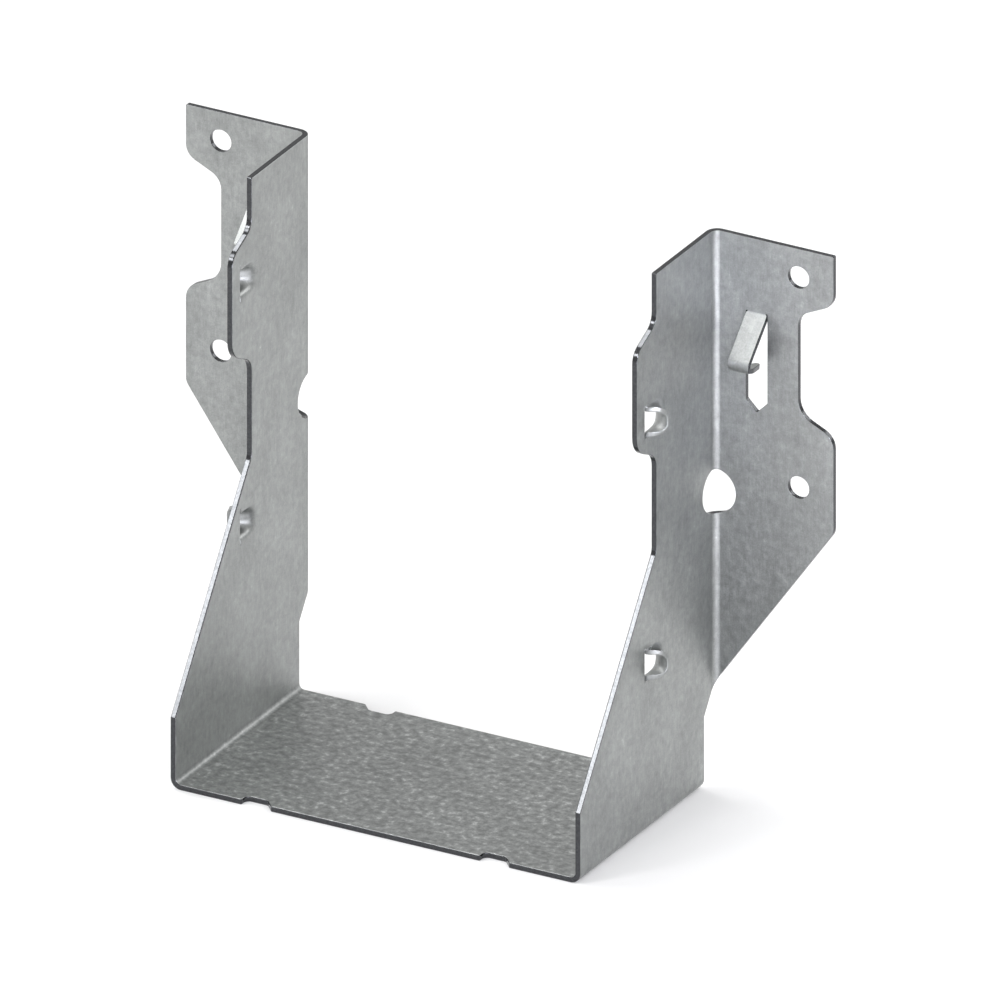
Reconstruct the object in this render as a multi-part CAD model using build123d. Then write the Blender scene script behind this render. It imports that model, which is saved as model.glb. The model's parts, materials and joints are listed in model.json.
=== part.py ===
from build123d import *

import math
import os

# A face-mount joist hanger, folded from one blank of galvanised sheet steel. Millimetres, +Z up.
# It is drawn with Y measured from the header face, where the backs of the two flanges lie, and
# +Y points into the header. At the end the origin goes to the middle of the footprint.

# Sheet and bends
sheet = 1.2  # thickness of the steel
seat_bend = 1.1  # inside radius between the seat and a side plate
flange_bend = 1.4  # inside radius between a side plate and its flange
neutral = 0.33  # share of the thickness, from the inside of a bend, that keeps its length

# Main sizes
joist_width = 90.5  # clear width between the side plates
height = 121.1  # seat underside to the top edges
strip = 50.8  # width of the blank strip: the depth of the seat and the flat width of an arm
seat_gap = 5.35  # header face to the back edge of the seat
flange_width = 27.0  # side plate's outer face to the flange's outer edge

# Cut line: the strip is parted by one line, so the front edge of a side plate and the outer edge
# of its flange have the same curve, and the ear of one blank comes out of the neck of the next
neck_depth = 8.0
neck_drop = 12.7  # top edge to the middle of the S-curve above the neck
neck_length = 25.3  # from there to the middle of the S-curve below the neck
s_slope = 25.0  # slope of an S-curve's middle, in degrees from level
top_radii = (3.5, 3.7)  # S-curve above the neck, outer bend and inner bend
bottom_radii = (4.9, 4.0)  # S-curve below the neck, inner bend and outer bend
taper_top = 60.0  # height where the front edge starts to slant down to the seat
taper_lift = 0.4  # how much higher the edge behind starts to slant
taper_angle = 35.0  # slant, in degrees from upright
taper_radius = 3.0

# Header nail holes, two in each flange
nail_hole = 4.75  # diameter
nail_edge = 7.95  # hole centre to the flange's outer edge
nail_top = 6.25  # upper hole's centre to the top edge
nail_pitch = 46.05  # between the two holes

# Round hole punched on each bend line
relief_hole = 9.6  # diameter in the flat blank
relief_height = 63.9

# Speed prong in each flange
prong_width = 4.8
prong_edge = 17.45  # prong's middle to the flange's outer edge
prong_drop = 16.5  # top edge to the hinge, where the arm's middle line leaves the flange's
slot_length = 21.5  # hinge to the slot's V point
slot_vee = 90.0  # angle of the slot's V, in degrees
prong_arm = 12.2  # length of the arm that leans out
prong_lean = 45.0  # arm, in degrees from upright
prong_knee = 0.5  # inside radius where the arm turns back into the claw
claw_length = 9.0  # knee to point, in a straight line
claw_fall = 18.5  # that line, in degrees below level
claw_sag = 0.45  # how far the claw's middle hangs below that line
claw_curl = 12.0  # radius of the claw's upward curl
claw_tip = 0.3  # half the width of the blunted tip

# Nail guides, two formed hoods in each side plate that lead a nail in at a slant
guide_edge = 3.43  # ear's front edge to the slit that opens a hood's mouth
guide_bore = 4.2  # clear height of a hood
guide_wall = 1.0  # thickness of a hood's cheeks at its mouth
guide_crown = 0.75  # thickness of its crown, which the forming stretches
guide_rise = 4.2  # side plate's outer face to the crown
guide_corner = 2.0  # outer radius between the crown and a cheek
guide_slope = 42.0  # crown, in degrees from the plate
guide_recline = 32.0  # mouth, in degrees back from square to the plate
guide_blend = 0.3  # radius between the plate's outer face and the hood
guide_round = 1.1  # radius between the plate's inner face and the hood
guide_low = 37.0  # height of the right plate's lower hood
guide_drop = 30.85  # top edge to the right plate's upper hood
guide_stagger = 9.5  # how much higher the hoods of the left plate are

# Notches where the blank was parted from the strip
notch_place = 27.0  # hanger's middle to the middle of a notch
notch_width = 6.7
notch_depth = 2.1
notch_ramp = 1.9  # width of the notch's slanted side
notch_radius = 1.2

# Worked out from the sizes above
half_width = joist_width / 2
plate_x = half_width + sheet  # side plate's outer face
flange_x = plate_x + flange_width  # flange's outer edge
bend_length = math.radians(90) * (flange_bend + neutral * sheet)  # flat length of a flange bend
bend_x = plate_x + flange_bend  # where a flange leaves its bend
bend_y = -(sheet + flange_bend)  # where a side plate enters its bend
seat_back = -seat_gap
seat_front = seat_back - strip
plate_front = bend_y - (strip - bend_length - (flange_x - bend_x))
ear_front = plate_front - neck_depth
slit_y = ear_front + guide_edge
neck_top = height - neck_drop
neck_bottom = neck_top - neck_length
seat_top = sheet + seat_bend  # height where a side plate leaves its seat bend
slant = math.tan(math.radians(taper_angle))
arm_foot = taper_top - (plate_front - seat_front) / slant  # where the slant in front ends
rear_foot = arm_foot + taper_lift  # where the slant behind ends
bend_foot = rear_foot + (bend_y - seat_back) / slant  # where that slant enters the flange bend
overall_depth = strip + seat_gap
prong_x = flange_x - prong_edge
prong_hinge = height - prong_drop
prong_fillet = prong_knee + sheet / 2  # radius of the prong's middle line at its two bends
reach = 4 * sheet  # how far a cutting tool runs past the sheet
fine = 0.01  # tolerance for picking edges by their place


def cut_line(top, foot):
    """Corners and bend radii of the strip's cut line, from the top edge down to the height foot.

    The slant starts at the height top. The first number of a point is the distance from the
    line's outer run, negative into the arm.
    """
    step = neck_depth / 2 * math.tan(math.radians(s_slope))
    corners = [
        (0, height),
        (0, neck_top + step),
        (-neck_depth, neck_top - step),
        (-neck_depth, neck_bottom + step),
        (0, neck_bottom - step),
        (0, top),
        (-(top - foot) * slant, foot),
    ]
    return corners, [*top_radii, *bottom_radii, taper_radius]


def panel(line, corners, plane, depth):
    """A flat panel between a rounded line and straight corners, drawn on plane, depth thick."""
    edge = FilletPolyline(*line[0], radius=line[1])
    close = Polyline(edge @ 1, *corners, edge @ 0)
    return extrude(plane * make_face([edge, close]), depth)


def side_plate():
    """Right side plate between its seat bend and its flange bend, drawn on the YZ plane."""
    corners, radii = cut_line(taper_top, arm_foot)
    front = [(plate_front + across, z) for across, z in corners]
    rest = [
        (seat_front, seat_top),
        (seat_back, seat_top),
        (seat_back, rear_foot),
        (bend_y, bend_foot),
        (bend_y, height),
    ]
    return panel((front, radii), rest, Plane.YZ.offset(half_width), sheet)


def flange():
    """Right flange from its bend to its outer edge, drawn on the XZ plane."""
    foot = bend_foot + bend_length / slant
    corners, radii = cut_line(taper_top + taper_lift, foot)
    edge = [(flange_x + across, z) for across, z in corners]
    return panel((edge, radii), [(bend_x, height)], Plane.XZ, sheet)


def seat():
    """Seat between the two seat bends, with its notches."""
    width = joist_width - 2 * seat_bend
    plate = Pos(0, (seat_front + seat_back) / 2, sheet / 2) * Box(width, strip, sheet)
    for side in (-1, 1):
        at = Pos(side * notch_place, seat_front, 0)
        plate -= at * notch()
        plate -= Pos(side * notch_place, seat_back, 0) * Rot(0, 0, 180) * notch()
    return plate


def notch():
    """Tool for a notch in an edge that faces -Y: one side steep, the other a ramp."""
    left = -notch_width / 2
    right = notch_width / 2
    outline = FilletPolyline(
        (left, -reach),
        (left, notch_depth),
        (right - notch_ramp, notch_depth),
        (right, 0),
        (right, -reach),
        radius=[notch_radius, notch_radius, notch_radius / 4],
    )
    face = make_face([outline, Line(outline @ 1, outline @ 0)])
    return extrude(Plane.XY.offset(-reach) * face, 2 * reach + sheet)


def seat_fold():
    """Right seat bend, a quarter ring drawn on the XZ plane and run along the depth of the seat."""
    ring = quarter_ring(seat_bend, Plane.XZ.offset(-seat_back), strip)
    return Pos(half_width - seat_bend, 0, seat_top) * ring


def quarter_ring(inside, plane, length):
    """A bend drawn on plane about its own origin, in the quarter right of and below it."""
    outside = inside + sheet
    outer = CenterArc((0, 0), outside, -90, 90)
    inner = CenterArc((0, 0), inside, -90, 90)
    face = make_face([outer, Line(outer @ 0, inner @ 0), inner, Line(inner @ 1, outer @ 1)])
    return extrude(plane * face, length)


def flange_fold():
    """Right flange bend, up the whole height, with its lower end cut along the slant."""
    ring = Rot(0, 0, 180) * quarter_ring(flange_bend, Plane.XY, height)
    ring = Pos(bend_x, bend_y, 0) * ring
    ring -= bend_tool(lambda flat: (-reach, bend_foot + flat / slant))
    half = bend_length / 2
    radius = relief_hole / 2
    ring -= bend_tool(lambda flat: hole_span(flat - half, radius))
    return ring


def hole_span(across, radius):
    """Lowest and highest point of the round bend hole at a distance across its middle."""
    rise = math.sqrt(radius**2 - across**2)
    return relief_height - rise, relief_height + rise


def bend_tool(span, stations=7):
    """Tool that cuts the flange bend between two heights that change along the flat length.

    span gives the two heights at a distance along the flat blank from the plate's side.
    """
    sections = []
    for k in range(stations):
        share = k / (stations - 1)
        low, high = span(share * bend_length)
        turn = 180 - 90 * share
        place = Plane.XZ * Pos((flange_bend + sheet / 2), (low + high) / 2)
        section = place * Rectangle(2 * sheet, high - low)
        sections.append(Pos(bend_x, bend_y, 0) * Rot(0, 0, turn) * section)
    return loft(sections)


def relief_tools():
    """The round hole's share in the side plate and in the flange, as two tools."""
    radius = relief_hole / 2
    half = bend_length / 2
    in_plate = Pos(plate_x, bend_y + half, relief_height) * Rot(0, 90, 0)
    in_flange = Pos(bend_x - half, 0, relief_height) * Rot(90, 0, 0)
    return in_plate * Cylinder(radius, reach), in_flange * Cylinder(radius, reach)


def nail_holes():
    """Two header nail holes in the right flange."""
    tools = []
    for drop in (nail_top, nail_top + nail_pitch):
        place = Pos(flange_x - nail_edge, 0, height - drop) * Rot(90, 0, 0)
        tools.append(place * Cylinder(nail_hole / 2, reach))
    return tools


def prong_slot():
    """Slot that the prong leaves in the right flange, with a V at its foot."""
    half = prong_width / 2
    point = prong_hinge - slot_length
    shoulder = point + half / math.tan(math.radians(slot_vee / 2))
    lean_start = prong_hinge + prong_fillet * math.tan(math.radians(prong_lean / 2))
    outline = Polyline(
        (prong_x - half, lean_start),
        (prong_x - half, shoulder),
        (prong_x, point),
        (prong_x + half, shoulder),
        (prong_x + half, lean_start),
        close=True,
    )
    return extrude(Plane.XZ * make_face(outline), reach, both=True)


def prong():
    """Right speed prong: an arm that leans out of the flange and a claw that turns back to it."""
    lean = math.radians(prong_lean)
    hinge = Vector(-sheet / 2, prong_hinge)
    root = hinge + Vector(0, sheet)
    knee = hinge - prong_arm * Vector(math.sin(lean), math.cos(lean))
    fall = math.radians(claw_fall)
    ahead = Vector(math.cos(fall), -math.sin(fall))
    below = Vector(-math.sin(fall), -math.cos(fall))
    middle = knee + ahead * claw_length / 2 + below * claw_sag
    point = knee + ahead * claw_length
    bends = [prong_fillet, prong_fillet, claw_curl]
    line = FilletPolyline(root, hinge, knee, middle, point, radius=bends)
    profile = trace(line, line_width=sheet)
    body = extrude(Plane.YZ.offset(prong_x - prong_width / 2) * profile, prong_width)
    top = (0, math.sin(fall), math.cos(fall))
    claw_plane = Plane(origin=(prong_x, knee.X, knee.Y), x_dir=(1, 0, 0), z_dir=top)
    claw_plane = claw_plane.offset(sheet / 2 + fine)
    for side in (-1, 1):
        outline = Polyline(
            (side * prong_width / 2, 0),
            (side * claw_tip, claw_length),
            (side * claw_tip, claw_length + sheet),
            (side * prong_width, claw_length + sheet),
            (side * prong_width, 0),
            close=True,
        )
        body -= extrude(claw_plane * make_face(outline), -(claw_sag + 2 * sheet))
    return body


def mouth_plane(z):
    """Plane of a hood's mouth, reclined from the slit in the right plate's outer face."""
    lean = math.radians(guide_recline)
    outwards = (math.cos(lean), math.sin(lean), 0)
    forwards = (math.sin(lean), -math.cos(lean), 0)
    return Plane(origin=(plate_x, slit_y, z), x_dir=outwards, z_dir=forwards)


def hood_tunnel(z, half, rise, corner):
    """A U-shaped section in a hood's mouth, carried along the slope of the crown both ways."""
    crown = rise / math.cos(math.radians(guide_recline))
    arch = FilletPolyline((-reach, -half), (crown, -half), (crown, half), (-reach, half), radius=corner)
    section = mouth_plane(z) * make_face([arch, Line(arch @ 1, arch @ 0)])
    slope = math.radians(guide_slope)
    back = (-math.sin(slope), math.cos(slope), 0)
    run = (rise + 2 * reach) / math.sin(slope)
    return extrude(section, run, dir=back) + extrude(section, -sheet, dir=back)


def block(place, *align):
    """A block larger than a hood, with the faces named by align at place."""
    size = 4 * reach
    return place * Box(size, size, size, align=align)


def foot_edges(plate, face_x, z, front):
    """Edges where the hood at the height z meets the plate's face at face_x, behind front."""
    near = plate.edges().filter_by_position(Axis.X, face_x - fine, face_x + fine)
    near = near.filter_by_position(Axis.Z, z - guide_bore, z + guide_bore)
    return near.filter_by_position(Axis.Y, front + fine, bend_y - reach)


def nail_guide(plate, z):
    """The right side plate with a hood pushed outwards at the height z."""
    half = guide_bore / 2
    outer = hood_tunnel(z, half + guide_wall, guide_rise, guide_corner)
    inner = hood_tunnel(z, half, guide_rise - guide_crown, guide_corner - guide_crown)
    slit = Pos(plate_x, slit_y, z)
    plate += outer & block(slit * Pos(-sheet / 2, 0, 0), Align.MIN, Align.CENTER, Align.CENTER)
    plate = fillet(foot_edges(plate, plate_x, z, slit_y - 2 * sheet), guide_blend)
    outside = block(slit, Align.MIN, Align.CENTER, Align.CENTER)
    plate -= outside & block(Location(mouth_plane(z)), Align.CENTER, Align.CENTER, Align.MIN)
    plate -= inner & block(slit, Align.CENTER, Align.MIN, Align.CENTER)
    return fillet(foot_edges(plate, half_width, z, slit_y), guide_round)


def right_arm(lift):
    """Right side plate, flange and both bends, with its nail guides raised by lift."""
    plate = side_plate()
    for z in (guide_low, height - guide_drop):
        plate = nail_guide(plate, z + lift)
    wing = flange() - nail_holes() - prong_slot()
    plate_tool, flange_tool = relief_tools()
    return seat_fold() + (plate - plate_tool) + flange_fold() + (wing - flange_tool) + prong()


def hanger():
    """The whole folded sheet, with its origin at the middle of the footprint."""
    right = right_arm(0)
    left = mirror(right_arm(guide_stagger), about=Plane.YZ)
    return Pos(0, overall_depth / 2, 0) * (seat() + right + left)


os.makedirs("parts", exist_ok=True)
body = hanger()
print("solids", len(body.solids()), "volume", round(body.volume, 1), "faces", len(body.faces()))
export_step(body, "parts/hanger.step")
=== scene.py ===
# %% [markdown]
# A joist hanger is folded from one strip of galvanised steel sheet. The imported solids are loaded
# first, because they say where everything is, and every later step only adds to what they show.

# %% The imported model
import json
import math

import bpy
import numpy as np
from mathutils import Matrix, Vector
from mathutils.geometry import delaunay_2d_cdt


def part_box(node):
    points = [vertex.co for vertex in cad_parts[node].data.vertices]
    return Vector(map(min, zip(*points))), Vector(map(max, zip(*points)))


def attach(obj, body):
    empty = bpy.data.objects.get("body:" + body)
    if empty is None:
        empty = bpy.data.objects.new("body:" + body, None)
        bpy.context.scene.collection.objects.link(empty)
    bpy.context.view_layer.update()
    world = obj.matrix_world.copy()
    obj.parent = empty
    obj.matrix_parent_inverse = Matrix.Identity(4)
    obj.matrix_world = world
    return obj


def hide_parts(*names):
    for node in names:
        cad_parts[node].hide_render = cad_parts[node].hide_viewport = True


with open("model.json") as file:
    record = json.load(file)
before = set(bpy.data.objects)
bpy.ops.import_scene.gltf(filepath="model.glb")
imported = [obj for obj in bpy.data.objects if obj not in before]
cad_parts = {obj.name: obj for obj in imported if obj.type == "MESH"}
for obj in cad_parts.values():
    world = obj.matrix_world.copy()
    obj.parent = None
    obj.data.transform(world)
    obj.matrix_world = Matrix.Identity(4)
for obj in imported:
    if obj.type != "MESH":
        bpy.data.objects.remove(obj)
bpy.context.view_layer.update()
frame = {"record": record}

# %% [markdown]
# The product picture has no vanishing points, so the camera is an orthographic one. Its two
# angles and its width come from the picture's own lines, and it aims at the middle of the view.

# %% Camera
azimuth = math.radians(28.985)
elevation = math.radians(25.26)
view_width = 0.19831
aim = Vector((0.01271, 0, 0.06508))
distance = 0.6

camera_data = bpy.data.cameras.new("camera")
camera_data.type = "ORTHO"
camera_data.ortho_scale = view_width
camera = bpy.data.objects.new("camera", camera_data)
bpy.context.scene.collection.objects.link(camera)
towards_camera = Vector((
    math.sin(azimuth) * math.cos(elevation),
    -math.cos(azimuth) * math.cos(elevation),
    math.sin(elevation),
))
camera.location = aim + distance * towards_camera
camera.rotation_mode = "QUATERNION"
camera.rotation_quaternion = (-towards_camera).to_track_quat("-Z", "Y")
bpy.context.scene.camera = camera
print("camera at", [round(x, 4) for x in camera.location])

# %% [markdown]
# Colours are written as sRGB hex values, the way that a picture shows them. The shaders work with
# linear light, so one function turns the first into the second. Another adds a node to a material
# with its settings and its links, so that each material reads as a list of what it is made of.

# %% Colours and nodes
def linear(hex_colour):
    """An sRGB hex colour as linear RGBA: v / 12.92 when dark, else ((v + 0.055) / 1.055) ^ 2.4."""
    values = [int(hex_colour[i:i + 2], 16) / 255 for i in (1, 3, 5)]
    straight = [v / 12.92 if v <= 0.04045 else ((v + 0.055) / 1.055) ** 2.4 for v in values]
    return (*straight, 1.0)


def add_node(tree, kind, settings=None, links=None):
    """Adds a shader node with its settings and the links to its inputs.

    A setting is a property, the value of an input, by its name or number, or the "stops" of a
    colour ramp, as (position, hex colour) pairs.
    """
    node = tree.nodes.new(kind)
    for name, value in (settings or {}).items():
        if name == "stops":
            elements = node.color_ramp.elements
            while len(elements) < len(value):
                elements.new(0.5)
            for element, (position, colour) in zip(elements, value):
                element.position = position
                element.color = linear(colour)
        elif isinstance(name, str) and hasattr(node, name):
            setattr(node, name, value)
        else:
            node.inputs[name].default_value = value
    for name, source in (links or {}).items():
        tree.links.new(source, node.inputs[name])
    return node


print("the grey #808080 is", round(linear("#808080")[0], 3), "in linear light")

# %% [markdown]
# The real hanger starts as a flat blank that a press cuts, forms and folds. This script makes it
# the same way: first the sizes in millimetres, then the blank's outline, then a net of points on
# it, and last one fold that carries every point of the blank to its place. A solid from the CAD
# would show the same form, but its facets know nothing of the blank, so the zinc's pattern could
# not follow the sheet round a bend, and its cut edges could not be rounded as sheared edges are.
#
# The outer sizes are read from the solids. The others are the strip's width, the thickness of the
# sheet, half the clear width between the plates and the inside radius of each bend. Through a
# bend the sheet keeps its length a third of its thickness in from the inside.

# %% Sizes in millimetres
mm = 0.001
low, high = [np.array(corner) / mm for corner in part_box("hanger")]
nails = next(m for m in frame["record"]["mounts"] if m["name"] == "header_nails")["dims"]

height = high[2]
overall_depth = high[1] - low[1]
flange_x = high[0]
strip = 50.8
sheet = 1.2
half_width = 45.25
seat_bend = 1.1
flange_bend = 1.4
neutral = 0.33

quarter = math.pi / 2
seat_arc = quarter * (seat_bend + neutral * sheet)
flange_arc = quarter * (flange_bend + neutral * sheet)
seat_end = half_width - seat_bend
arm_start = seat_end + seat_arc
seat_top = sheet + seat_bend
bend_x = half_width + sheet + flange_bend
bend_y = -(sheet + flange_bend)
flange_start = bend_y + flange_arc
seat_back = strip - overall_depth
seat_front = -overall_depth
plate_front = flange_start + flange_x - bend_x - strip


def blank_s(z):
    """Distance of a height on an arm from the hanger's middle, measured along the flat blank."""
    return arm_start + z - seat_top


def blank_t(x):
    """Distance of a place x on a flange from the header face, measured across the flat blank."""
    return flange_start + x - bend_x


print("blank is", round(2 * blank_s(height), 1), "mm long, in a strip", strip, "mm wide")

# %% [markdown]
# Every closed cut is a list of corners with a radius for each, travelled with the sheet on its
# left. The sampled points carry the direction into the sheet, which the cut edge needs later.

# %% Rounded outlines
cut_step = 0.4
arc_step = math.radians(12)
crisp = 0.35


def turn_left(vectors):
    """Vectors turned by a quarter to the left: (a, b) becomes (-b, a)."""
    return np.stack([-vectors[..., 1], vectors[..., 0]], -1)


def rounded_loop(corners):
    """Points round a closed outline of (s, t, radius) corners, and the way into the sheet there.

    At each corner the two runs are cut back by radius x tan(half the turn), and an arc joins
    them. Between the arcs the runs are divided evenly.
    """
    corners = np.array(corners, float)
    place, radius = corners[:, :2], corners[:, 2]
    run = np.roll(place, -1, 0) - place
    ahead = run / np.linalg.norm(run, axis=1, keepdims=True)
    before = np.roll(ahead, 1, 0)
    turn = np.arctan2(before[:, 0] * ahead[:, 1] - before[:, 1] * ahead[:, 0],
                      (before * ahead).sum(1))
    cut = radius * np.tan(np.abs(turn) / 2)
    points, inward = [], []
    for k in range(len(place)):
        count = max(2, math.ceil(abs(turn[k]) / arc_step) + 1)
        angle = np.linspace(0, turn[k], count)[:, None]
        start = place[k] - before[k] * cut[k]
        side = turn_left(before[k])
        facing = side * np.cos(angle) - before[k] * np.sin(angle)
        points.append(start + np.sign(turn[k]) * radius[k] * (side - facing))
        inward.append(facing)
        following = (k + 1) % len(place)
        first = place[k] + ahead[k] * cut[k]
        last = place[following] - ahead[k] * cut[following]
        pieces = max(1, math.ceil(np.linalg.norm(last - first) / cut_step))
        share = np.linspace(0, 1, pieces + 1)[1:-1, None]
        points.append(first + (last - first) * share)
        inward.append(np.repeat(turn_left(ahead[k])[None], pieces - 1, 0))
    return np.concatenate(points), np.concatenate(inward)


def round_hole(s, t, radius):
    """A circle travelled clockwise, so that the sheet is on its left, outside it."""
    count = math.ceil(2 * math.pi / min(arc_step, cut_step / radius))
    angle = -np.linspace(0, 2 * math.pi, count, endpoint=False)
    facing = np.stack([np.cos(angle), np.sin(angle)], 1)
    return np.array([s, t]) + radius * facing, facing


def turned_over(loop):
    """The same cut on the other arm: s changes sign, and the travel is reversed."""
    flip = np.array([-1, 1])
    return tuple((values * flip)[::-1] for values in loop)


# %% [markdown]
# One line parts the strip into blanks, so the front edge of an arm and the outer edge of its
# flange are the same curve, a strip's width apart: an ear of one blank leaves a neck in the next.
# The curve is given by (height, share of the neck's depth, radius) corners. The seat has two
# notches in each edge.

# %% Outline of the blank
neck_depth = 8.0
neck_top = height - 12.7
neck_bottom = neck_top - 25.3
s_rise = neck_depth / 2 * math.tan(math.radians(25))
taper_top = 60.0
taper_lift = 0.4
taper_radius = 3.0
slant = math.tan(math.radians(35))
arm_foot = taper_top - (plate_front - seat_front) / slant
rear_foot = arm_foot + taper_lift
s_curve = ((neck_top + s_rise, 0, 3.5), (neck_top - s_rise, 1, 3.7),
           (neck_bottom + s_rise, 1, 4.9), (neck_bottom - s_rise, 0, 4.0))
notch_place = 27.0
notch_width = 6.7
notch_depth = 2.1
notch_ramp = 1.9
notch_radius = 1.2


def cut_line(edge, lift):
    """Corners of the cut line at the distance edge across the strip, from the top edge down."""
    corners = [(blank_s(height), edge, crisp)]
    corners += [(blank_s(z), edge - neck_depth * out, radius) for z, out, radius in s_curve]
    return corners + [(blank_s(taper_top + lift), edge, taper_radius)]


def notch(edge, side, way):
    """A notch at an edge of the seat, one side steep and one a ramp; way is 1 in front."""
    half = notch_width / 2
    shape = ((-half, 0, crisp), (-half, notch_depth, notch_radius),
             (half - notch_ramp, notch_depth, notch_radius), (half, 0, crisp))
    return [(side * notch_place + way * s, edge + way * t, radius) for s, t, radius in shape]


def outline():
    """The whole outline, counter-clockwise from the front edge of the seat."""
    front_slant = (blank_s(arm_foot), seat_front, crisp)
    front = [front_slant] + cut_line(plate_front, 0)[::-1]
    rear = cut_line(plate_front + strip, taper_lift) + [(blank_s(rear_foot), seat_back, crisp)]
    right = front + rear
    left = [(-s, t, radius) for s, t, radius in right[::-1]]
    front_notches = notch(seat_front, -1, 1) + notch(seat_front, 1, 1)
    rear_notches = notch(seat_back, 1, -1) + notch(seat_back, -1, -1)
    return rounded_loop(front_notches + right + rear_notches + left)


print("the front edge slants from", round(arm_foot, 2), "to", taper_top, "mm above the floor")

# %% [markdown]
# The flanges have two nail holes each, a round hole is punched on each bend line, and a prong is
# cut free on three sides in a slot with a V at its foot. In the blank the prong lies in its slot,
# a little narrowed, so that a thin gap parts it from the sides; the fold gives its width back.
# The prong is a line of straight runs and arcs: a hinge, a leaning arm, a knee and a curled claw.

# %% Holes and prongs in the flanges
nail_radius = nails["hole_r_mm"]
nail_x = nails["spacing_x_mm"] / 2
nail_margin = 6.25
nail_heights = (height - nail_margin, height - nail_margin - nails["spacing_y_mm"])
relief_radius = 4.8
relief_height = 63.9

prong_x = flange_x - 17.45
prong_hinge = height - 16.5
prong_half = 2.4
prong_arm = 12.2
prong_radius = 1.1
arm_lean = 45.0
claw_length = 9.0
claw_fall = 18.5
claw_sag = 5.7
claw_radius = 12.0
tip_half = 0.42
slot_gap = 0.4


def corner_cut(radius, turn):
    """How far an arc starts before its corner: radius x tan(half the turn)."""
    return radius * math.tan(math.radians(abs(turn)) / 2)


def arc_run(radius, turn):
    """An arc as (length, turn in degrees): its length is radius x turn in radians."""
    return (radius * math.radians(abs(turn)), turn)


knee_turn = -(arm_lean + 90 - claw_fall - claw_sag)
half_claw = claw_length / 2
prong_runs = [
    arc_run(prong_radius, arm_lean),
    (prong_arm - corner_cut(prong_radius, arm_lean) - corner_cut(prong_radius, knee_turn), 0),
    arc_run(prong_radius, knee_turn),
    (half_claw - corner_cut(prong_radius, knee_turn) - corner_cut(claw_radius, 2 * claw_sag), 0),
    arc_run(claw_radius, -2 * claw_sag),
    (half_claw - corner_cut(claw_radius, 2 * claw_sag), 0),
]
prong_length = sum(length for length, turn in prong_runs)
prong_top = prong_hinge + corner_cut(prong_radius, arm_lean)
slot_length = 21.5
slot_point = slot_length + corner_cut(prong_radius, arm_lean)
knee_at = sum(length for length, turn in prong_runs[:2]) + prong_runs[2][0] / 2
narrow_half = prong_half - slot_gap
nearly_half = 0.49
gap_round = nearly_half * slot_gap


def slot_loop():
    """The gap round the prong, from (distance down, distance aside, radius) corners.

    It is travelled with the sheet on the left.
    """
    tip = prong_length
    right_side = [
        (0, prong_half, gap_round),
        (slot_point - prong_half, prong_half, crisp),
        (slot_point, 0, crisp),
    ]
    prong_side = [
        (tip, tip_half, crisp),
        (knee_at, narrow_half, crisp),
        (0, narrow_half, gap_round),
    ]
    left_side = [(d, -a, radius) for d, a, radius in right_side[:2][::-1]]
    left_prong = [(d, -a, radius) for d, a, radius in prong_side[::-1]]
    ring = (right_side + left_side + left_prong + prong_side)[::-1]
    return rounded_loop([(blank_s(prong_top) - d, blank_t(prong_x) + a, r) for d, a, r in ring])


print("prong", round(prong_length, 2), "mm long in the flat, its knee", round(knee_at, 2), "down")

# %% [markdown]
# Each side plate is slit and pushed outwards in two places. The hood behind such a slit leads a
# slanted nail in. A U-shaped arch stands over the slit and runs down to the plate behind it.

# %% Slits of the nail guides
slit_y = plate_front - neck_depth + 3.43
guide_stagger = 9.5
right_guides = np.array([37.0, height - 30.85])
guide_heights = {1: right_guides, -1: right_guides + guide_stagger}
hood_half = 3.95
hood_length = 7.4
slit_gap = 0.14


def slit_loop(s):
    """A thin slit across the way that a nail goes, rounded at its two ends."""
    end = nearly_half * slit_gap
    back, front = slit_y, slit_y - slit_gap
    corners = [(s - hood_half, front), (s - hood_half, back), (s + hood_half, back),
               (s + hood_half, front)]
    return rounded_loop([(*corner, end) for corner in corners])


right_holes = [round_hole(blank_s(z), blank_t(nail_x), nail_radius) for z in nail_heights]
right_holes.append(round_hole(blank_s(relief_height), bend_y + flange_arc / 2, relief_radius))
right_holes.append(slot_loop())
loops = [outline()] + right_holes + [turned_over(loop) for loop in right_holes]
for side, heights in guide_heights.items():
    loops += [slit_loop(side * blank_s(z)) for z in heights]
print("cuts", len(loops), "with", sum(len(points) for points, inward in loops), "points")

# %% [markdown]
# The prong and the arch of a hood are lines bent in one plane. Each is worked out once as a table
# of places along it, which the fold then reads. Half an arch starts flat on the plate, turns up
# at its foot, climbs along its cheek and turns over at its brow to a level crown.

# %% Bent lines
line_samples = 8001


def bent_line(runs):
    """Distance along, ahead and aside of a line of (length, turn in degrees) runs.

    The heading grows evenly along each run, and the line is the running sum of the cosine and
    the sine of its heading.
    """
    lengths, turns = np.array(runs).T
    stops = np.concatenate([[0], np.cumsum(lengths)])
    headings = np.radians(np.concatenate([[0], np.cumsum(turns)]))
    along = np.linspace(0, stops[-1], line_samples)
    heading = np.interp((along[1:] + along[:-1]) / 2, stops, headings)
    ahead = np.concatenate([[0], np.cumsum(np.cos(heading))]) * along[1]
    aside = np.concatenate([[0], np.cumsum(np.sin(heading))]) * along[1]
    return along, ahead, aside


prong_line = bent_line(prong_runs)

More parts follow.
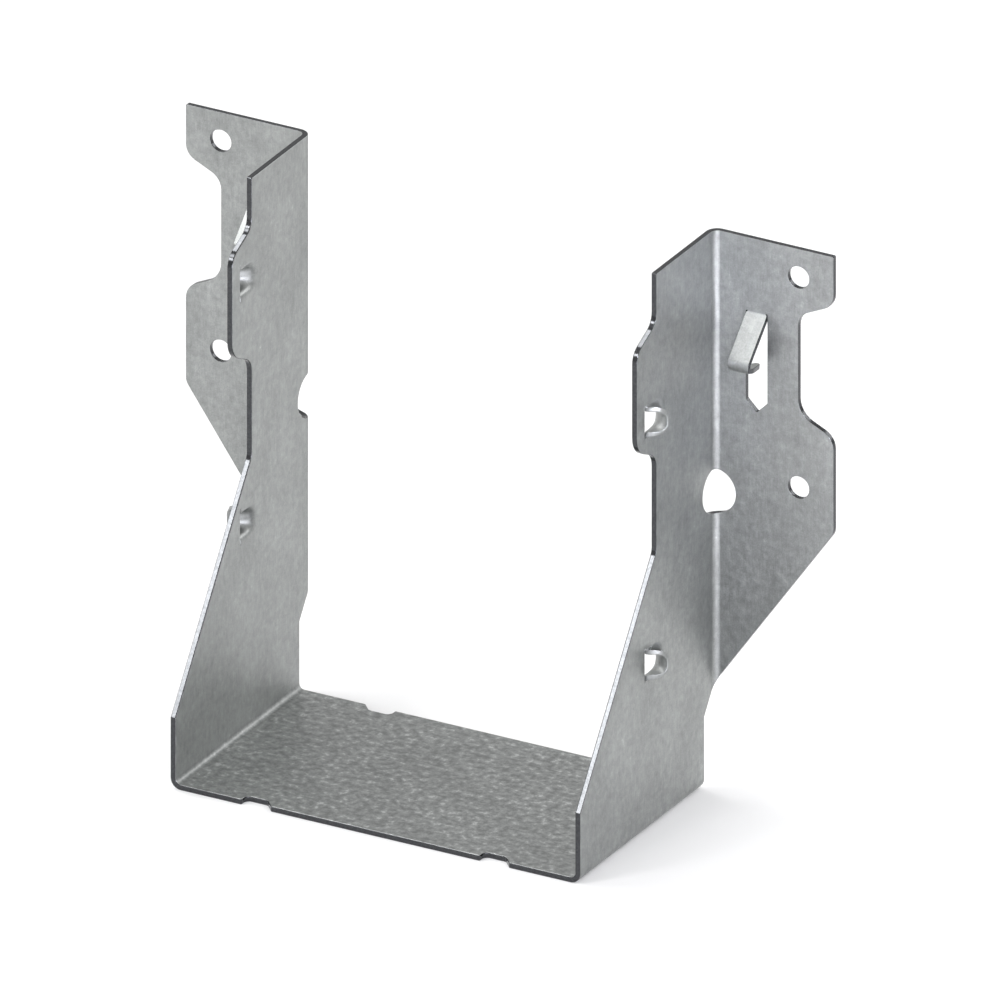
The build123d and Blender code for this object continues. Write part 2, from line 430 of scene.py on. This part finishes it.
cheek_turn = 88.0
foot_radius = 0.9
brow_radius = 2.1
cheek_half = 2.7
crown_height = 4.2
steep = math.sin(math.radians(cheek_turn))
level = math.cos(math.radians(cheek_turn))
arcs = foot_radius + brow_radius
cheek_run = (crown_height - arcs * (1 - level)) / steep
foot_run = hood_half - cheek_half - foot_radius
crown_run = hood_half - foot_run - arcs * steep - cheek_run * level
arch_line = bent_line([
    (foot_run, 0),
    arc_run(foot_radius, cheek_turn),
    (cheek_run, 0),
    arc_run(brow_radius, -cheek_turn),
    (crown_run, 0),
])
print("an arch is", round(2 * arch_line[0][-1], 2), "mm round and", crown_height, "mm high")

# %% [markdown]
# Three parts of the blank move in their own way: the plain sheet, the hoods and the prongs. A hood
# is highest at its mouth and runs down to the plate behind it, sooner at its sides than on its
# crown. Each point of the blank is given the part that it belongs to.

# %% Parts of the blank
PLAIN, HOOD, PRONG = 0, 1, 2
hood_ease = 0.3
hood_squareness = 4
above_zero = 1e-6
hood_centres = [(side, blank_s(z)) for side, heights in guide_heights.items() for z in heights]


def hood_shares(s, t, side, centre):
    """Place of blank points on a hood: across it from -1 to 1, back from its slit, and its fall.

    The fall is 1 at the mouth, goes down evenly and eases out to 0 at the hood's end, which is
    nearer towards the sides: length x (1 - across ^ 4) ^ (1 / 4).
    """
    across = (side * s - centre) / hood_half
    back = t - slit_y
    inner_share = np.clip(1 - np.abs(across) ** hood_squareness, above_zero, 1)
    share = back / (hood_length * inner_share ** (1 / hood_squareness))
    even = 1 - hood_ease / 2 - share
    eased = np.clip(1 - share, 0, None) ** 2 / (2 * hood_ease)
    fall = np.where(share > 1 - hood_ease, eased, even) / (1 - hood_ease / 2)
    return across, back, fall


def region_of(s, t):
    """Which part of the blank each point belongs to: plain sheet, a hood or a prong."""
    region = np.full(len(s), PLAIN)
    for side, centre in hood_centres:
        across, back, fall = hood_shares(s, t, side, centre)
        region[(np.abs(across) < 1) & (back > -slit_gap / 2) & (fall > 0)] = HOOD
    below = blank_s(prong_top) - np.abs(s)
    limit = np.interp(below, [knee_at, prong_length], [narrow_half, tip_half]) + slot_gap / 2
    near = np.abs(t - blank_t(prong_x)) < limit
    region[near & (below > 0) & (below < prong_length + slot_gap / 2)] = PRONG
    return region


print("hoods at", [round(side * centre, 1) for side, centre in hood_centres], "mm along the blank")

# %% [markdown]
# The fold works on whole arrays. A bend turns its stretch of the blank evenly through a quarter
# turn. A prong follows its bent line out of its slot, and a hood follows the arch, reclined and
# with its crown drawn thinner. The surface is half the sheet's thickness away along the normal.

# %% The fold
widen_over = 0.8
hood_recline = 0.75
crown_thinning = 0.35
just_past_side = 1.01
short_step = 0.002


def fold(s, t, region):
    """Middle of the folded sheet over blank points, and the share of its thickness left there.

    In a bend, the distance out is radius x sin(turn) and the rise is radius x (1 - cos(turn)).
    """
    side = np.where(s < 0, -1.0, 1.0)
    along = np.abs(s)
    prong = region == PRONG
    down = np.clip(blank_s(prong_top) - along, 0, prong_length)
    eased = np.clip(down / widen_over, 0, 1)
    widened = 1 + (prong_half / narrow_half - 1) * eased ** 2 * (3 - 2 * eased)
    middle = blank_t(prong_x)
    t = np.where(prong, middle + (t - middle) * widened, t)

    seat_turn = np.clip((along - seat_end) / seat_arc, 0, 1) * quarter
    seat_radius = seat_bend + sheet / 2
    x = np.minimum(along, seat_end) + seat_radius * np.sin(seat_turn)
    z = seat_top - seat_radius * np.cos(seat_turn) + np.maximum(along - arm_start, 0)

    flange_turn = np.clip((t - bend_y) / flange_arc, 0, 1) * quarter
    flange_radius = flange_bend + sheet / 2
    x = x + flange_radius * (1 - np.cos(flange_turn)) + np.maximum(t - flange_start, 0)
    y = np.minimum(t, bend_y) + flange_radius * np.sin(flange_turn)

    length, ahead, aside = prong_line
    z = np.where(prong, prong_top - np.interp(down, length, ahead), z)
    y = np.where(prong, y - np.interp(down, length, aside), y)

    thickness = np.ones(len(s))
    length, ahead, aside = arch_line
    for hood_side, centre in hood_centres:
        across, back, fall = hood_shares(s, t, hood_side, centre)
        inside = (region == HOOD) & (np.abs(across) < just_past_side)
        fall = np.where(inside, fall, 0)
        at = np.clip(1 - np.abs(across), 0, 1) * length[-1]
        out = fall * np.interp(at, length, aside)
        spread = hood_half - np.interp(at, length, ahead)
        x = x + out
        z = z + fall * np.sign(across) * (spread - hood_half * np.abs(across))
        y = y + hood_recline * out * (1 - back / hood_length)
        thickness = thickness - crown_thinning * out / crown_height
    return np.stack([side * x, y, z], -1), thickness


def unit(vectors):
    """Vectors divided by their own lengths."""
    return vectors / np.linalg.norm(vectors, axis=-1, keepdims=True)


def folded(s, t, lift, inward=None):
    """Points at lift above the middle of the sheet, its normals, and the inward ways in space.

    A normal is the cross product of a short step along the blank and one across it.
    """
    region = region_of(s, t)
    middle, thickness = fold(s, t, region)
    along = fold(s + short_step, t, region)[0] - fold(s - short_step, t, region)[0]
    across = fold(s, t + short_step, region)[0] - fold(s, t - short_step, region)[0]
    normal = unit(np.cross(along, across))
    point = middle + normal * (lift * thickness)[:, None]
    if inward is None:
        return point, normal
    way = along * inward[:, :1] + across * inward[:, 1:]
    return point, normal, unit(way)


top_corner = folded(np.array([blank_s(height)]), np.array([flange_start]), np.zeros(1))[0]
print("the top of the flange bend is folded to", top_corner.round(2).tolist())

# %% [markdown]
# A net of triangles fills the blank between its cuts. It is fine where the sheet is bent and
# coarse where it is flat. The faces on both sides of the sheet share it, and it stops a little
# before each cut, where the rounded edge takes over. First come the grids of points.

# %% Points of the net
bend_step = 0.8
bend_lines = 8
hood_step = 0.17
prong_step = 0.33
past_hinge = 0.6


def grid(s_values, t_values):
    """Every pair of the two lists of values, one pair in a row."""
    return np.stack(np.meshgrid(s_values, t_values, indexing="ij"), -1).reshape(-1, 2)


def spaced(start, end, step):
    """Even values from start to end, no further apart than step."""
    return np.linspace(start, end, max(2, math.ceil((end - start) / step) + 1))


def fine_patches():
    """Grids over the bends, hoods and prongs of the right arm, then of the left arm."""
    arm = spaced(seat_end, blank_s(height), bend_step)
    across = spaced(seat_front, seat_back, bend_step)
    hinge, middle = blank_s(prong_top), blank_t(prong_x)
    right = [
        grid(np.linspace(seat_end, arm_start, bend_lines), across),
        grid(arm, np.linspace(bend_y, flange_start, bend_lines)),
        grid(spaced(hinge - prong_length, hinge + past_hinge, prong_step),
             spaced(middle - narrow_half, middle + narrow_half, prong_step)),
    ]
    patches = right + [patch * np.array([-1, 1]) for patch in right]
    for side, centre in hood_centres:
        around = spaced(side * centre - hood_half, side * centre + hood_half, hood_step)
        patches.append(grid(around, spaced(slit_y, slit_y + hood_length, hood_step)))
    return patches


patches = fine_patches()
print("fine points", [len(patch) for patch in patches])

# %% [markdown]
# A point of a grid may lie in a hole or beyond the outline. It is on the sheet when a line from it
# crosses the cuts an odd number of times, and it is kept when it isn't too near to a cut.

# %% Points on the sheet
batch = 500


def crossings(points, start, end):
    """How many cut segments a line from each point towards +s crosses: odd means on the sheet."""
    s, t = points[:, :1], points[:, 1:]
    beside = (start[:, 1] > t) != (end[:, 1] > t)
    rise = np.where(start[:, 1] == end[:, 1], 1, end[:, 1] - start[:, 1])
    hit = start[:, 0] + (t - start[:, 1]) / rise * (end[:, 0] - start[:, 0])
    return (beside & (s < hit)).sum(1)


def nearest(points, start, end):
    """Distance from each point to the nearest segment, at its foot clipped to the segment."""
    run = end - start
    to_point = points[:, None] - start
    share = (to_point * run).sum(-1) / (run**2).sum(-1)
    foot = to_point - np.clip(share, 0, 1)[..., None] * run
    return np.sqrt((foot**2).sum(-1).min(1))


def on_sheet(points, start, end, gap=0.0):
    """True where a point lies on the sheet and further than gap from its cuts."""
    kept = []
    for part in np.array_split(points, max(1, len(points) // batch)):
        inside = crossings(part, start, end) % 2 == 1
        if gap:
            inside[inside] = nearest(part[inside], start, end) > gap
        kept.append(inside)
    return np.concatenate(kept)


edge_inset = 0.26
flat_step = 2.5
patch_margin = flat_step / 3
clearance = 0.16
inset = [points + edge_inset * inward for points, inward in loops]
cut_start = np.concatenate(inset)
cut_end = np.concatenate([np.roll(points, -1, 0) for points in inset])
coarse = grid(spaced(-blank_s(height), blank_s(height), flat_step),
              spaced(seat_front, plate_front + strip, flat_step))
for patch in patches:
    corner_low = patch.min(0) - patch_margin
    corner_high = patch.max(0) + patch_margin
    coarse = coarse[~((coarse > corner_low) & (coarse < corner_high)).all(1)]
inner = np.concatenate(patches + [coarse])
inner = inner[on_sheet(inner, cut_start, cut_end, clearance)]
print("points kept", len(inner))

# %% [markdown]
# A constrained Delaunay triangulation joins the points and keeps every cut as an edge. The
# triangles that fill a hole are dropped, and the others are turned to face up.

# %% The net of the blank
same_point = 1e-6
moved = 1e-4
flat_points = np.concatenate([cut_start, inner])
first = np.cumsum([0] + [len(points) for points in inset])
rings = [np.arange(first[k], first[k + 1]) for k in range(len(inset))]
cut_edges = np.concatenate([np.stack([ring, np.roll(ring, -1)], 1) for ring in rings])
net = delaunay_2d_cdt([Vector(p) for p in flat_points.tolist()], cut_edges.tolist(), [], 0,
                      same_point)
net_points = np.array([list(p) for p in net[0]])
if len(net_points) != len(flat_points) or np.abs(net_points - flat_points).max() > moved:
    raise ValueError("the net has moved or added points")
triangles = np.array(net[2])
a, b, c = (flat_points[triangles[:, k]] for k in range(3))
turned = (b - a)[:, 0] * (c - a)[:, 1] - (b - a)[:, 1] * (c - a)[:, 0]
triangles[turned < 0] = triangles[turned < 0][:, ::-1]
triangles = triangles[on_sheet((a + b + c) / 3, cut_start, cut_end)]
print("net of", len(flat_points), "points and", len(triangles), "triangles")

# %% [markdown]
# A press shears the sheet: one side of the cut is drawn over into a soft roll, the other is left
# nearly sharp, and the wall between them is bare steel without zinc. The edge is that profile,
# carried along every cut through the same fold. The punch that pushes a hood out smears zinc over
# its lips, so the walls of those slits are not bare.

# %% The cut edge
roll_radius = edge_inset
sharp_radius = 0.12
roll_turns = np.radians([67.5, 45, 22.5, 0])
sharp_turns = np.radians([0, -30, -60, -90])


def edge_profile():
    """Inset from the cut, lift from the middle of the sheet, and slope of the edge's normal.

    The slope is counted from level. The inset is radius x (1 - cos(slope)), and the point lies
    radius x (1 - |sin(slope)|) inside the upper or the lower face.
    """
    roll = [(roll_radius * (1 - math.cos(b)), sheet / 2 - roll_radius * (1 - math.sin(b)), b)
            for b in roll_turns]
    sharp = [(sharp_radius * (1 - math.cos(b)), -sheet / 2 + sharp_radius * (1 + math.sin(b)), b)
             for b in sharp_turns]
    return roll + sharp


def band(points, inward):
    """Vertices, normals and blank places of the edge along one cut, ring after ring."""
    places, verts, normals = [], [], []
    for depth, lift, slope in edge_profile():
        flat = points + depth * inward
        vert, normal, way = folded(*flat.T, np.full(len(flat), lift), inward)
        places.append(flat)
        verts.append(vert)
        normals.append(unit(normal * math.sin(slope) - way * math.cos(slope)))
    return np.concatenate(places), np.concatenate(verts), np.concatenate(normals)


def band_faces(ring, offset, under):
    """Quads from the upper face's ring, over the rings that start at offset, to the lower one."""
    count = len(ring)
    levels = [ring]
    levels += [np.arange(count) + offset + k * count for k in range(len(edge_profile()))]
    levels.append(ring + under)
    quads = [np.stack([upper, lower, np.roll(lower, -1), np.roll(upper, -1)], 1)
             for upper, lower in zip(levels[:-1], levels[1:])]
    return np.concatenate(quads), np.repeat(np.arange(len(quads)), count)


print("the edge has", len(edge_profile()), "rings of points round each cut")

# %% [markdown]
# The net is folded twice, half the sheet's thickness above its middle and as far below, and the
# edges close it. The slits of the hoods are the last cuts in the list. All is put together as
# one mesh with the blank's own map, where the header face stands at the back.

# %% The folded sheet
half_sheet = np.full(len(flat_points), sheet / 2)
top, top_normal = folded(*flat_points.T, half_sheet)
under, under_normal = folded(*flat_points.T, -half_sheet)
places = [flat_points, flat_points]
verts = [top, under]
normals = [top_normal, -under_normal]
count = len(flat_points)
triangle_faces = np.concatenate([triangles, triangles[:, ::-1] + count])
offset = 2 * count
quads, levels = [], []
first_slit = len(loops) - len(hood_centres)
zinc_level = 0
bare_levels = (2, 3, 4, 5, 6)
for number, ((points, inward), ring) in enumerate(zip(loops, rings)):
    place, vert, normal = band(points, inward)
    quad, level = band_faces(ring, offset, count)
    places.append(place)
    verts.append(vert)
    normals.append(normal)
    quads.append(quad)
    levels.append(level if number < first_slit else np.full_like(level, zinc_level))
    offset += len(place)
places, verts, normals = (np.concatenate(values) for values in (places, verts, normals))
quads, levels = np.concatenate(quads), np.concatenate(levels)
verts[:, 1] += overall_depth / 2

sheet_mesh = bpy.data.meshes.new("folded_sheet")
sheet_mesh.from_pydata((verts * mm).tolist(), [], triangle_faces.tolist() + quads.tolist())
sheet_mesh.polygons.foreach_set("use_smooth", np.ones(len(sheet_mesh.polygons), bool))
face_levels = np.concatenate([np.full(len(triangle_faces), zinc_level), levels])
bare = np.isin(face_levels, bare_levels).astype(int)
sheet_mesh.polygons.foreach_set("material_index", bare)
corner_vertex = np.zeros(len(sheet_mesh.loops), int)
sheet_mesh.loops.foreach_get("vertex_index", corner_vertex)
blank_map = sheet_mesh.uv_layers.new(name="blank")
blank_map.data.foreach_set("uv", (places[corner_vertex] * mm).astype(np.float32).ravel())
sheet_mesh.normals_split_custom_set_from_vertices(normals.tolist())
folded_sheet = bpy.data.objects.new("folded_sheet", sheet_mesh)
bpy.context.scene.collection.objects.link(folded_sheet)
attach(folded_sheet, "root")
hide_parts("hanger")
print("folded sheet", len(verts), "vertices,", len(triangle_faces) + 2 * len(quads), "triangles")
print("its box in mm", verts.min(0).round(2), verts.max(0).round(2), "frame", low, high)

# %% [markdown]
# Hot-dip galvanised steel is zinc that froze on the sheet and was rolled smooth again. Up close it
# is a soft grey metal with clouds some millimetres wide, flecks and fine crystals, faint streaks
# along the strip and thin scuffs from the press. Each pattern is noise whose grain is given in
# millimetres on the blank's own map, so it runs round the bends as on the real sheet.

# %% Patterns of the zinc
def new_material(name):
    """An empty material and its node tree."""
    material = bpy.data.materials.new(name)
    material.use_nodes = True
    material.node_tree.nodes.clear()
    return material, material.node_tree


def pattern(tree, place, grain, stretch=1.0, detail=3.0, turn=0.0, seed=0.0, crispness=0.5):
    """Noise with grains of so many millimetres, drawn out by stretch along the strip."""
    turned = (0, 0, math.radians(turn))
    scale = (1 / (grain * stretch), 1 / grain, 1 / grain)
    mapped = add_node(tree, "ShaderNodeMapping",
                      {"Rotation": turned, "Scale": scale, "Location": (seed, seed, 0)},
                      {"Vector": place})
    noise = add_node(tree, "ShaderNodeTexNoise",
                     {"Scale": 1.0, "Detail": detail, "Roughness": crispness},
                     {"Vector": mapped.outputs["Vector"]})
    return noise.outputs["Fac"]


def blended(tree, middle, parts):
    """middle plus the sum of weight x (pattern - 0.5), as a chain of multiply-and-add nodes."""
    settings = {2: middle - sum(weight for fac, weight in parts) / 2}
    links = {}
    for fac, weight in parts:
        total = add_node(tree, "ShaderNodeMath",
                         {"operation": "MULTIPLY_ADD", 1: weight, **settings}, {0: fac, **links})
        settings, links = {}, {2: total.outputs[0]}
    return total.outputs[0]


# %% [markdown]
# The zinc does not look the same all over. On the seat its flecks are about three times as strong
# as on the arms. Part of that is the zinc's own flecks, and part is a painted glint: the light
# that the seat's crystals catch is painted into their grey. Where the sheet is bent the zinc is
# stretched and a little duller. Both follow from the distance of a point from the middle of the
# blank, or across the strip.

# %% Seat and bends
# The seat's larger gain is partly a painted glint on the zinc's flecks.
seat_glint_gain = 3.2
arm_fleck_gain = 1.0
glint_fade = 1.0
bend_fade = 0.3
bend_dulling = 0.08


# Painted glint: the seat's stronger flecks paint the light caught by its crystals into the grey.
def flecks_with_seat_glint(tree, away, flecks):
    """0.5 plus (flecks - 0.5) x seat_glint_gain on the seat, changing smoothly to arm_fleck_gain."""
    gain = add_node(tree, "ShaderNodeMapRange",
                    {"interpolation_type": "SMOOTHSTEP", "From Min": seat_end - glint_fade,
                     "From Max": arm_start + glint_fade, "To Min": seat_glint_gain,
                     "To Max": arm_fleck_gain},
                    {"Value": away})
    centred = add_node(tree, "ShaderNodeMath", {"operation": "SUBTRACT", 1: 0.5}, {0: flecks})
    strong = add_node(tree, "ShaderNodeMath", {"operation": "MULTIPLY_ADD", 2: 0.5},
                      {0: centred.outputs[0], 1: gain.outputs["Result"]})
    return strong.outputs[0]


def close_to(tree, value, middle, half):
    """1 where a value is within half of a middle, falling evenly to 0 over bend_fade beyond."""
    apart = add_node(tree, "ShaderNodeMath", {"operation": "SUBTRACT", 1: middle}, {0: value})
    gap = add_node(tree, "ShaderNodeMath", {"operation": "ABSOLUTE"}, {0: apart.outputs[0]})
    share = add_node(tree, "ShaderNodeMapRange",
                     {"From Min": half, "From Max": half + bend_fade, "To Min": 1.0,
                      "To Max": 0.0},
                     {"Value": gap.outputs[0]})
    return share.outputs["Result"]


def duller_bends(tree, away, across, rough):
    """The roughness plus bend_dulling where the seat or a flange is bent."""
    seat = close_to(tree, away, (seat_end + arm_start) / 2, seat_arc / 2)
    flange = close_to(tree, across, (bend_y + flange_start) / 2, flange_arc / 2)
    bent = add_node(tree, "ShaderNodeMath", {"operation": "MAXIMUM"}, {0: seat, 1: flange})
    duller = add_node(tree, "ShaderNodeMath", {"operation": "MULTIPLY_ADD", 1: bend_dulling},
                      {0: bent.outputs[0], 2: rough})
    return duller.outputs[0]


# %% [markdown]
# The sum of the patterns picks a grey from a narrow ramp. The same flecks vary the roughness, and
# a very shallow bump gives the frozen zinc its relief. The real specks and scuffs are finer than
# the render can show, so they are drawn two or three times coarser. Zinc is a metal, so its
# Metallic is 1, and what the eye sees is mostly the room and the lamps in a soft mirror.

# %% Galvanised steel
zinc_greys = [(0.0, "#828483"), (0.5, "#9A9C9B"), (0.8, "#A9ABAA"), (1.0, "#C6C8C7")]
zinc_roughness = 0.42
crystal_size = 0.9
bump_strength = 0.3
bump_height = 0.02


def galvanised_steel():
    """Zinc with a frozen, rolled surface: soft, cloudy and cool grey."""
    material, tree = new_material("galvanised_steel")
    blank = add_node(tree, "ShaderNodeUVMap", {"uv_map": "blank"}).outputs["UV"]
    place = add_node(tree, "ShaderNodeVectorMath", {"operation": "SCALE", "Scale": 1 / mm},
                     {"Vector": blank}).outputs["Vector"]
    along, across = add_node(tree, "ShaderNodeSeparateXYZ", links={"Vector": place}).outputs[:2]
    away = add_node(tree, "ShaderNodeMath", {"operation": "ABSOLUTE"}, {0: along}).outputs[0]
    clouds = pattern(tree, place, grain=11.0, stretch=1.6)
    blotches = pattern(tree, place, grain=2.6, stretch=1.3, seed=40.0)
    streaks = pattern(tree, place, grain=0.7, stretch=14.0, detail=2.0, seed=80.0)
    scuffs = pattern(tree, place, grain=0.35, stretch=9.0, detail=1.0, turn=38.0, seed=15.0)
    flecks = pattern(tree, place, grain=1.5, stretch=1.1, detail=4.0, seed=60.0, crispness=0.65)
    specks = pattern(tree, place, grain=0.3, detail=1.0)
    cells = add_node(tree, "ShaderNodeTexVoronoi", {"Scale": 1 / crystal_size}, {"Vector": place})
    crystals = add_node(tree, "ShaderNodeSeparateColor",
                        links={"Color": cells.outputs["Color"]}).outputs[0]
    # The flecks on the seat carry a painted glint as well as the zinc's own pattern.
    flecks_and_glint = flecks_with_seat_glint(tree, away, flecks)
    tone = blended(tree, 0.5, [(clouds, 0.6), (blotches, 0.5), (streaks, 0.12), (scuffs, 0.3),
                               (specks, 0.5), (crystals, 0.12), (flecks_and_glint, 1.0)])
    colour = add_node(tree, "ShaderNodeValToRGB", {"stops": zinc_greys}, {"Fac": tone})
    even = blended(tree, zinc_roughness, [(blotches, 0.1), (specks, 0.1), (flecks, 0.25)])
    rough = duller_bends(tree, away, across, even)
    relief = blended(tree, 0.5, [(flecks, 0.9), (specks, 0.3), (crystals, 0.1)])
    bump = add_node(tree, "ShaderNodeBump",
                    {"Strength": bump_strength, "Distance": bump_height * mm},
                    {"Height": relief})
    shader = add_node(tree, "ShaderNodeBsdfPrincipled", {"Metallic": 1.0},
                      {"Base Color": colour.outputs["Color"], "Roughness": rough,
                       "Normal": bump.outputs["Normal"]})
    add_node(tree, "ShaderNodeOutputMaterial", links={"Surface": shader.outputs["BSDF"]})
    print(material.name, "made of", len(tree.nodes), "nodes")
    return material


folded_sheet.data.materials.append(galvanised_steel())

# %% [markdown]
# Where the press sheared the sheet there is no zinc. The wall of the cut is dark bare steel, quite
# smooth, which mirrors the soft boxes where it faces them and is nearly black elsewhere.

# %% Bare steel of the cut edges
steel_greys = [(0.3, "#424345"), (0.7, "#525355")]
steel_roughness = 0.16


def bare_steel():
    """Freshly sheared steel: dark, with a sharp gleam and a grain half a millimetre wide."""
    material, tree = new_material("bare_steel")
    place = add_node(tree, "ShaderNodeTexCoord").outputs["Object"]
    in_mm = add_node(tree, "ShaderNodeVectorMath", {"operation": "SCALE", "Scale": 1 / mm},
                     {"Vector": place}).outputs["Vector"]
    grain = pattern(tree, in_mm, grain=0.5)
    colour = add_node(tree, "ShaderNodeValToRGB", {"stops": steel_greys}, {"Fac": grain})
    shader = add_node(tree, "ShaderNodeBsdfPrincipled",
                      {"Metallic": 1.0, "Roughness": steel_roughness},
                      {"Base Color": colour.outputs["Color"]})
    add_node(tree, "ShaderNodeOutputMaterial", links={"Surface": shader.outputs["BSDF"]})
    print(material.name, "made of", len(tree.nodes), "nodes")
    return material


folded_sheet.data.materials.append(bare_steel())

# %% [markdown]
# The hanger stands on a plain white floor that runs out of sight. Its colour and a little glow,
# which only the camera and mirrored or clear surfaces see, make the background white. The glow
# adds no light to the hanger's matt shades, and the soft shadow still falls on the floor.

# %% Floor
floor_white = "#F2F2F2"
floor_glow = 0.1
floor_half = 3.0


def floor_material():
    """Matt white paint plus floor_glow where the ray comes from the camera or a mirror."""
    material, tree = new_material("white_floor")
    path = add_node(tree, "ShaderNodeLightPath")
    seen = path.outputs["Is Camera Ray"]
    for ray in ("Is Glossy Ray", "Is Transmission Ray"):
        seen = add_node(tree, "ShaderNodeMath", {"operation": "MAXIMUM"},
                        {0: seen, 1: path.outputs[ray]}).outputs[0]
    glow = add_node(tree, "ShaderNodeMath", {"operation": "MULTIPLY", 1: floor_glow}, {0: seen})
    paint = add_node(tree, "ShaderNodeBsdfDiffuse", {"Color": linear(floor_white)})
    light = add_node(tree, "ShaderNodeEmission", links={"Strength": glow.outputs[0]})
    both = add_node(tree, "ShaderNodeAddShader", links={0: paint.outputs[0], 1: light.outputs[0]})
    add_node(tree, "ShaderNodeOutputMaterial", links={"Surface": both.outputs[0]})
    return material


floor_mesh = bpy.data.meshes.new("floor")
corners = [(-floor_half, -floor_half, 0), (floor_half, -floor_half, 0),
           (floor_half, floor_half, 0), (-floor_half, floor_half, 0)]
floor_mesh.from_pydata(corners, [], [(0, 1, 2, 3)])
floor = bpy.data.objects.new("floor", floor_mesh)
floor.data.materials.append(floor_material())
bpy.context.scene.collection.objects.link(floor)
print("floor", 2 * floor_half, "m wide")

# %% [markdown]
# The light is that of a product studio: a plain pale room and soft boxes. A large one stands
# behind on the right and one on the left. Three low ones in front on the right, a little cooler,
# light the inner corner of the right plate and flange, which sees little of the others. Two small
# ones are there to be mirrored by the slanted and the curved edges. The last three stand close
# and light a small place each, so they have a grid: a narrow Spread keeps their light together.

# %% Lights
white = "#FFFFFF"
cool = "#F3F3FE"
no_grid = 180


def softbox(name, towards, away, size, power, colour=white, at=aim, spread=no_grid):
    """A square lamp of so many watts, at a place + distance away x the direction towards it."""
    lamp = bpy.data.lights.new(name, "AREA")
    lamp.shape = "SQUARE"
    lamp.size = size
    lamp.energy = power
    lamp.color = linear(colour)[:3]
    lamp.spread = math.radians(spread)
    light = bpy.data.objects.new(name, lamp)
    bpy.context.scene.collection.objects.link(light)
    direction = Vector(towards).normalized()
    light.location = at + away * direction
    light.rotation_mode = "QUATERNION"
    light.rotation_quaternion = (-direction).to_track_quat("-Z", "Y")
    print("lamp", name, power, "W")


softbox("back", (0.43, 0.79, 0.44), away=0.7, size=0.3, power=0.8)
softbox("left", (-1.0, -0.1, 0.4), away=0.6, size=0.5, power=1.5)
softbox("low_right_front", (0.45, -0.8, 0), away=0.4, size=0.12, power=0.62, colour=cool)
softbox("low_right", (0.8, -0.55, 0), away=0.4, size=0.12, power=0.4, colour=cool)
softbox("low_front", (0.1, -1.0, 0), away=0.4, size=0.12, power=0.16, colour=cool)
softbox("slanted_edges", (-0.438, -0.672, 0.598), away=0.9, size=0.18, power=1.5)
softbox("curved_edges", (-0.438, 0.182, 0.88), away=0.9, size=0.15, power=0.85)

corner_place = Vector((0.060, 0.015, 0.110))
prong_place = Vector((0.0615, 0.020, 0.100))
left_prong_place = Vector((-0.0565, 0.020, 0.100))
corner_grid = 16
prong_grid = 30
softbox("corner", (0.5, -0.75, 0.35), away=0.35, size=0.06, power=0.022, colour=cool,
        at=corner_place, spread=corner_grid)
softbox("prong", (-0.2, -0.45, 0.87), away=0.3, size=0.1, power=0.015,
        at=prong_place, spread=prong_grid)
softbox("left_prong", (-0.438, -0.426, 0.79), away=0.3, size=0.1, power=0.008,
        at=left_prong_place, spread=prong_grid)

# %% [markdown]
# The room is the world's background, one pale grey from all sides. The Standard view shows each
# colour about as it is written.

# %% The room
room_grey = "#C8C8C8"
room_light = 1.24
world = bpy.data.worlds.new("studio")
world.use_nodes = True
background = world.node_tree.nodes["Background"]
background.inputs["Color"].default_value = linear(room_grey)
background.inputs["Strength"].default_value = room_light
bpy.context.scene.world = world
bpy.context.scene.view_settings.view_transform = "Standard"
print("room", room_grey, "at strength", room_light)
